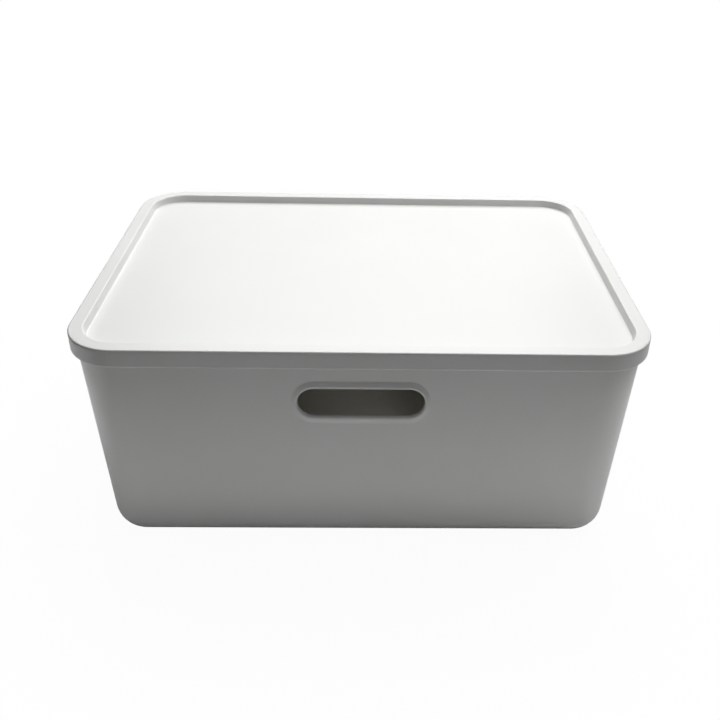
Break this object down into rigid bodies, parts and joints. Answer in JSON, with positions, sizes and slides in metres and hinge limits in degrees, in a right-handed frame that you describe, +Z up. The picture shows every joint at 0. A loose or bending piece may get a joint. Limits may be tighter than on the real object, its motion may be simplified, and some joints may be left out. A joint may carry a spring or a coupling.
{
  "type": "plastic storage box",
  "caption": "Rectangular plastic storage box with tapered walls, round corners, hand holes with raised collars and a lift-off lid with a sunken panel.",
  "frame": {"origin": "on the table, under the middle of the box", "axes": "+X along the long side, +Y from the front long wall to the rear one, +Z up"},
  "size_m": [0.39, 0.284, 0.1695],
  "materials": {
    "body_plastic": "white polypropylene with a fine even mould texture and a soft sheen",
    "lid_plastic": "white polypropylene with a fine even mould texture and a soft sheen"
  },
  "bodies": {
    "box": {"box_body": "body_plastic"},
    "lid": {"lid": "lid_plastic"}
  },
  "joints": [
    {"name": "lid_lift", "type": "slide", "parent": "box", "child": "lid", "axis": [0, 0, 1], "range_m": [0, 0.2]}
  ]
}
